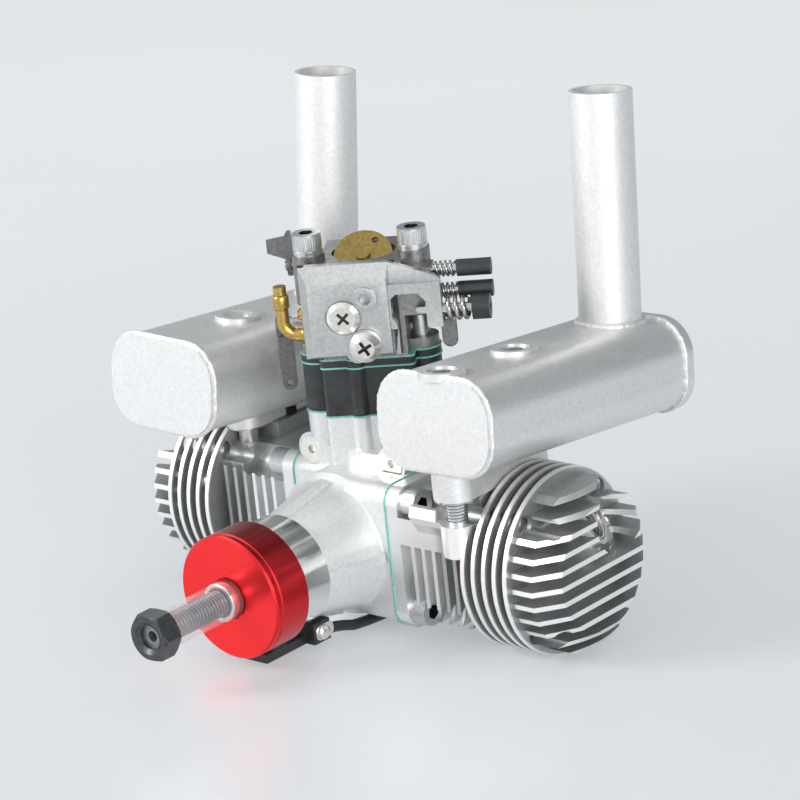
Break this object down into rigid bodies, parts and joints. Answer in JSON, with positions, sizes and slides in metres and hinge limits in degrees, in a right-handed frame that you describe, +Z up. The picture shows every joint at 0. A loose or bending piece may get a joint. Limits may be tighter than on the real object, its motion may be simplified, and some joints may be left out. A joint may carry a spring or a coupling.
{
  "type": "aircraft engine",
  "caption": "Flat twin two-stroke aircraft engine with finned cylinders, a top carburettor, a red propeller hub and two silver mufflers with upright outlet tubes.",
  "frame": {"origin": "the centre of the four engine mount bosses, where the crankshaft's axis meets their faces", "axes": "+Z up through the carburettor, -Y along the crankshaft to the propeller, +X along the right-hand cylinder"},
  "size_m": [0.168, 0.1998, 0.1592],
  "materials": {
    "cast_grey": "satin",
    "bright_alloy": "polished",
    "carb_cast": "satin",
    "blasted_steel": "matt",
    "machined_steel": "satin",
    "screw_steel": "satin",
    "red_anodised": "gloss",
    "black_oxide": "satin",
    "clear_sleeve": "gloss",
    "green_gasket": "matt",
    "black_gasket": "matt",
    "black_plastic": "satin",
    "black_cable": "satin",
    "yellow_brass": "satin"
  },
  "bodies": {
    "engine": {"crankcase": "cast_grey", "rear_cover": "cast_grey", "case_screws": "screw_steel", "cover_screws": "screw_steel", "nose_ring": "bright_alloy", "front_bearing": "machined_steel", "main_bearing": "machined_steel", "rear_bearing": "machined_steel", "shaft_seal": "black_gasket", "sensor_holder": "black_plastic", "sensor_screw": "screw_steel", "sensor_lead": "black_cable", "lead_coil": "black_cable", "lead_plug": "black_plastic", "cylinder_right": "cast_grey", "cylinder_left": "cast_grey", "base_gaskets": "green_gasket", "base_bolts": "screw_steel", "exhaust_gaskets": "machined_steel", "muffler_right": "blasted_steel", "muffler_left": "blasted_steel", "outlet_tube_right": "blasted_steel", "outlet_tube_left": "blasted_steel", "muffler_bolts": "screw_steel", "muffler_plugs": "screw_steel", "intake_gaskets": "green_gasket", "insulator_block": "black_plastic", "insulator_plate": "black_plastic", "reed_block": "black_plastic", "carb_body": "carb_cast", "pump_cover": "bright_alloy", "pump_gasket": "black_gasket", "pump_screws": "screw_steel", "metering_cover": "bright_alloy", "metering_screws": "screw_steel", "fuel_elbow": "yellow_brass", "inlet_plug": "yellow_brass", "carb_bolts": "screw_steel", "adjuster_springs": "machined_steel"},
    "crank": {"crankshaft": "machined_steel", "prop_hub": "red_anodised", "prop_nut": "black_oxide", "shaft_sleeve": "clear_sleeve"},
    "piston_set_right": {"piston_right": "bright_alloy", "wrist_pin_right": "machined_steel", "conrod_right": "machined_steel"},
    "piston_set_left": {"piston_left": "bright_alloy", "wrist_pin_left": "machined_steel", "conrod_left": "machined_steel"},
    "throttle": {"throttle_shaft": "machined_steel", "throttle_plate": "yellow_brass", "throttle_lever": "machined_steel", "throttle_arm": "machined_steel", "throttle_spring": "machined_steel"},
    "choke": {"choke_shaft": "machined_steel", "choke_plate": "yellow_brass", "choke_lever": "machined_steel"},
    "high_speed_needle": {"high_needle": "machined_steel"},
    "low_speed_needle": {"low_needle": "machined_steel"},
    "idle_stop": {"idle_screw": "machined_steel"}
  },
  "joints": [
    {"name": "crank_spin", "type": "hinge", "parent": "engine", "child": "crank", "pos_m": [0, -0.035, 0], "axis": [0, 1, 0], "continuous": true},
    {"name": "piston_right_slide", "type": "slide", "parent": "engine", "child": "piston_set_right", "axis": [1, 0, 0], "range_m": [-0.022, 0]},
    {"name": "piston_left_slide", "type": "slide", "parent": "engine", "child": "piston_set_left", "axis": [-1, 0, 0], "range_m": [-0.022, 0]},
    {"name": "throttle_turn", "type": "hinge", "parent": "engine", "child": "throttle", "pos_m": [-0.00313, -0.03136, 0.0605], "axis": [0.829, 0.5592, 0], "range_deg": [-75, 0], "stiffness_Nm_per_rad": 0.01, "springref_deg": 34.38},
    {"name": "choke_turn", "type": "hinge", "parent": "engine", "child": "choke", "pos_m": [-0.00313, -0.03136, 0.079], "axis": [0.829, 0.5592, 0], "range_deg": [-38, 52]},
    {"name": "high_needle_turn", "type": "hinge", "parent": "engine", "child": "high_speed_needle", "pos_m": [0.02185, -0.02995, 0.0786], "axis": [0.829, 0.5592, 0], "range_deg": [-360, 360]},
    {"name": "low_needle_turn", "type": "hinge", "parent": "engine", "child": "low_speed_needle", "pos_m": [0.02185, -0.02995, 0.072], "axis": [0.829, 0.5592, 0], "range_deg": [-360, 360]},
    {"name": "idle_screw_turn", "type": "hinge", "parent": "engine", "child": "idle_stop", "pos_m": [0.02761, -0.03366, 0.0685], "axis": [0.829, 0.5592, 0], "range_deg": [-360, 360]}
  ],
  "couplings": [
    {"joint": "piston_left_slide", "follows": "piston_right_slide", "ratio": 1}
  ]
}
